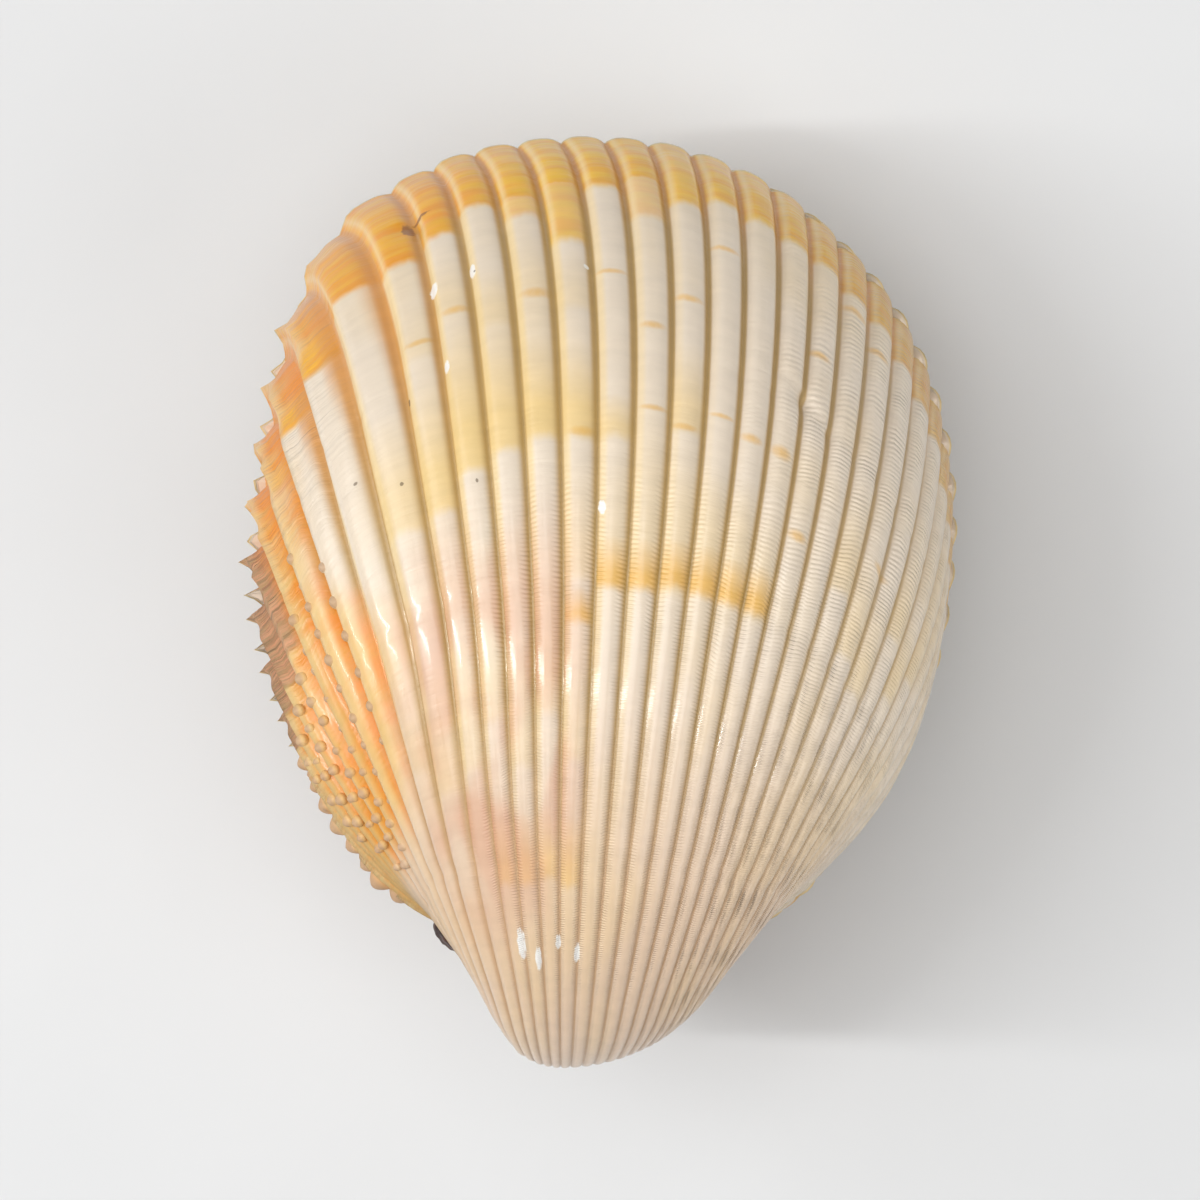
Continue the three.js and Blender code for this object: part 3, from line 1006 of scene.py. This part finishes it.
def shell_material(name, colours, seed, damaged):
    """Glossy ribbed shell."""
    graph = Graph(name)
    pattern = Pattern(graph, seed)
    graph.put(graph.shader.inputs["Base Color"], shell_colour(pattern, colours, damaged))
    dull = graph.larger(rough_part(pattern), graph.step(pattern.knob, 0.0, 0.3))
    grain = pattern.cloud(1.0, 0.6, detail=3)
    graph.put(
        graph.shader.inputs["Roughness"], graph.scaled(grain, 0.2, graph.scaled(dull, 0.3, 0.26)))
    graph.put(graph.shader.inputs["Normal"], shell_bumps(pattern))
    graph.shader.inputs["IOR"].default_value = 1.53
    coat = graph.scaled(slope_part(pattern), -0.25, 0.45)
    graph.put(graph.shader.inputs["Coat Weight"], graph.scaled(dull, -0.25, coat))
    graph.shader.inputs["Coat Roughness"].default_value = 0.11
    return graph.material


def ligament_material(colours):
    """Dry dark horn with lengthwise wrinkles."""
    graph = Graph("ligament_horn")
    place = graph.place()
    mottle = graph.noise(place, scale=900, detail=4)
    dark = tuple(colours.ligament)
    light = (dark[0] * 3.2, dark[1] * 3.4, dark[2] * 3.2, 1)
    colour = graph.blend(graph.step(mottle, 0.4, 0.7), dark, light)
    graph.put(graph.shader.inputs["Base Color"], colour)
    graph.put(graph.shader.inputs["Roughness"], graph.scaled(mottle, 0.3, 0.3))
    wrinkles = graph.noise(place, scale=2600, detail=3)
    graph.put(graph.shader.inputs["Normal"], graph.bump(wrinkles, 0.15 * MM, 0.6))
    return graph.material


# ------------------------------------------------------------
# Operators


class COCKLE_OT_valves(bpy.types.Operator):
    """Grow the two valves of the shell"""

    bl_idname = "cockle.valves"
    bl_label = "Valves"

    def execute(self, context):
        form, colours = context.scene.cockle_form, context.scene.cockle_colours
        for node, right_valve, seed in (("left_valve", False, 5), ("right_valve", True, 12)):
            valve = Valve(form, right_valve)
            skin = skin_of(valve)
            add_knobs(skin, knob_places(valve, form, seed))
            piece = add_piece(node + "_shell", skin)
            shell = shell_material(node + "_shell", colours, seed, damaged=not right_valve)
            piece.data.materials.append(shell)
            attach(piece, "root")
            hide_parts(node)
        return {"FINISHED"}


class COCKLE_OT_ligament(bpy.types.Operator):
    """Model the horny band behind the beaks"""

    bl_idname = "cockle.ligament"
    bl_label = "Ligament"

    def execute(self, context):
        bm = bmesh.new()
        bmesh.ops.create_uvsphere(bm, u_segments=48, v_segments=32, radius=1.0)
        for vertex in bm.verts:
            vertex.co = self.wrinkled(vertex.co)
        place = Matrix.Translation(HINGE_PLACE) @ REST_TURN.to_4x4() @ Matrix.Scale(MM, 4)
        place = place @ Matrix.Translation(LIGAMENT_CENTRE) @ Matrix.Rotation(LIGAMENT_TURN, 4, "Z")
        bmesh.ops.transform(bm, matrix=place, verts=bm.verts)
        piece = add_piece("ligament_band", bm)
        piece.data.materials.append(ligament_material(context.scene.cockle_colours))
        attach(piece, "root")
        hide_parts("ligament")
        return {"FINISHED"}

    @staticmethod
    def wrinkled(point):
        """A point of a unit ball moved to the bent and wrinkled band, in millimetres."""
        wrinkle = 1 + 0.05 * math.sin(point.z * 11 + point.x * 3) + 0.04 * math.sin(point.x * 17)
        return Vector((point.x * 1.8, point.y * 0.88 * wrinkle + 0.2, point.z * 1.45 * wrinkle))


class COCKLE_OT_stage(bpy.types.Operator):
    """Set up the floor, the lights and the camera"""

    bl_idname = "cockle.stage"
    bl_label = "Stage"

    def execute(self, context):
        self.add_floor(context.scene.cockle_colours)
        self.add_lights(context.scene)
        self.add_camera(context.scene)
        return {"FINISHED"}

    @staticmethod
    def add_floor(colours):
        bm = bmesh.new()
        bmesh.ops.create_grid(bm, x_segments=1, y_segments=1, size=2.0)
        floor = add_piece("floor", bm)
        graph = Graph("floor")
        grain = graph.noise(graph.place(), scale=60, detail=3)
        pale = tuple(colours.floor)
        shade = (pale[0] * 0.96, pale[1] * 0.96, pale[2] * 0.96, 1)
        graph.put(graph.shader.inputs["Base Color"], graph.blend(grain, pale, shade))
        graph.shader.inputs["Roughness"].default_value = 0.9
        floor.data.materials.append(graph.material)

    @staticmethod
    def add_lights(scene):
        """Large soft lamps from the left, the front and the right, and a narrow one for gloss."""
        scene.view_settings.view_transform = "Standard"
        world = bpy.data.worlds.new("studio")
        world.use_nodes = True
        world.node_tree.nodes["Background"].inputs["Color"].default_value = (1.0, 0.98, 0.95, 1)
        world.node_tree.nodes["Background"].inputs["Strength"].default_value = 0.30
        scene.world = world
        target = middle_of(CAD_BOX)
        for name, place, size, power in LAMPS:
            lamp = bpy.data.lights.new(name, "AREA")
            lamp.energy = power
            lamp.shape = "RECTANGLE"
            lamp.size, lamp.size_y = size
            light = bpy.data.objects.new(name, lamp)
            light.location = place
            light.rotation_euler = (target - Vector(place)).to_track_quat("-Z", "Y").to_euler()
            scene.collection.objects.link(light)

    @staticmethod
    def add_camera(scene):
        """The camera looks square-on at the plane between the valves, with the beaks below."""
        lens = bpy.data.cameras.new("camera")
        lens.sensor_width = 36
        lens.lens = lens.sensor_width * CAMERA_DISTANCE / VIEW_WIDTH
        lens.clip_start = 0.01
        camera = bpy.data.objects.new("camera", lens)
        eye = (CAMERA_AIM + Vector((0, 0, CAMERA_DISTANCE))) * MM
        camera.matrix_world = Matrix.Translation(HINGE_PLACE + REST_TURN @ eye) @ REST_TURN.to_4x4()
        scene.collection.objects.link(camera)
        scene.camera = camera


class COCKLE_PT_panel(bpy.types.Panel):
    """Lists the steps that build the shell"""

    bl_idname = "COCKLE_PT_panel"
    bl_label = "Cockle"
    bl_space_type = "VIEW_3D"
    bl_region_type = "UI"
    bl_category = "Cockle"

    def draw(self, context):
        layout = self.layout
        for operator in (COCKLE_OT_stage, COCKLE_OT_valves, COCKLE_OT_ligament):
            layout.operator(operator.bl_idname)
        for group in (context.scene.cockle_form, context.scene.cockle_colours):
            for name in type(group).__annotations__:
                layout.prop(group, name)


CLASSES = (
    CockleForm, CockleColours, COCKLE_OT_stage, COCKLE_OT_valves, COCKLE_OT_ligament,
    COCKLE_PT_panel)


def register():
    for item in CLASSES:
        bpy.utils.register_class(item)
    bpy.types.Scene.cockle_form = PointerProperty(type=CockleForm)
    bpy.types.Scene.cockle_colours = PointerProperty(type=CockleColours)


def unregister():
    del bpy.types.Scene.cockle_colours
    del bpy.types.Scene.cockle_form
    for item in reversed(CLASSES):
        bpy.utils.unregister_class(item)


def main():
    """Builds the stage and the shell."""
    register()
    bpy.ops.cockle.stage()
    bpy.ops.cockle.valves()
    bpy.ops.cockle.ligament()


if __name__ == "__main__":
    main()
